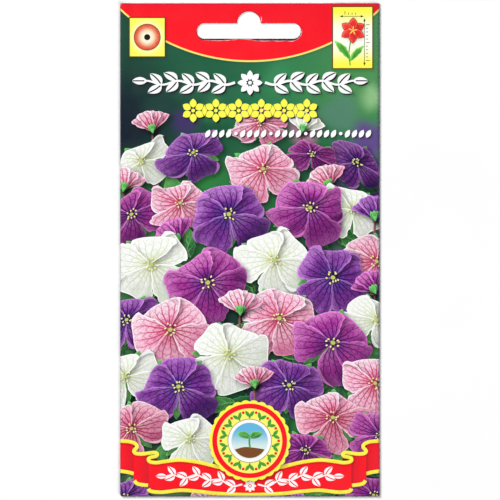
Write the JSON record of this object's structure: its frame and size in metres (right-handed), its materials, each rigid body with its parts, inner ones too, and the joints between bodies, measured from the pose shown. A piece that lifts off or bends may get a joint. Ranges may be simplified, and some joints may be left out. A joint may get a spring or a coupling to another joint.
{
  "type": "seed packet",
  "caption": "Flat glued paper packet with loose seeds inside, a printed front and a punched hang slot through its sealed header.",
  "frame": {"origin": "centre of the packet's outline, on the surface that its back lies on", "axes": "+Z out of the printed front, +Y towards the end with the hang slot, X across the packet"},
  "size_m": [0.08, 0.152, 0.0032],
  "materials": {
    "printed_paper": "coated paper, satin, printed in full colour",
    "dried_glue": "dull, half clear",
    "seed_coat": "smooth, faintly mottled"
  },
  "bodies": {
    "root": {"packet_paper": "printed_paper", "side_seam_glue": "dried_glue", "bottom_flap_glue": "dried_glue", "header_glue": "dried_glue", "header_side_glue": "dried_glue", "seed_01": "seed_coat", "seed_02": "seed_coat", "seed_03": "seed_coat", "seed_04": "seed_coat", "seed_05": "seed_coat", "seed_06": "seed_coat", "seed_07": "seed_coat", "seed_08": "seed_coat", "seed_09": "seed_coat", "seed_10": "seed_coat", "seed_11": "seed_coat", "seed_12": "seed_coat", "seed_13": "seed_coat", "seed_14": "seed_coat", "seed_15": "seed_coat", "seed_16": "seed_coat", "seed_17": "seed_coat", "seed_18": "seed_coat", "seed_19": "seed_coat", "seed_20": "seed_coat", "seed_21": "seed_coat", "seed_22": "seed_coat", "seed_23": "seed_coat", "seed_24": "seed_coat", "seed_25": "seed_coat", "seed_26": "seed_coat", "seed_27": "seed_coat", "seed_28": "seed_coat", "seed_29": "seed_coat", "seed_30": "seed_coat", "seed_31": "seed_coat", "seed_32": "seed_coat", "seed_33": "seed_coat", "seed_34": "seed_coat", "seed_35": "seed_coat", "seed_36": "seed_coat", "seed_37": "seed_coat", "seed_38": "seed_coat", "seed_39": "seed_coat", "seed_40": "seed_coat", "seed_41": "seed_coat", "seed_42": "seed_coat", "seed_43": "seed_coat", "seed_44": "seed_coat", "seed_45": "seed_coat", "seed_46": "seed_coat", "seed_47": "seed_coat", "seed_48": "seed_coat", "seed_49": "seed_coat", "seed_50": "seed_coat"}
  },
  "joints": []
}
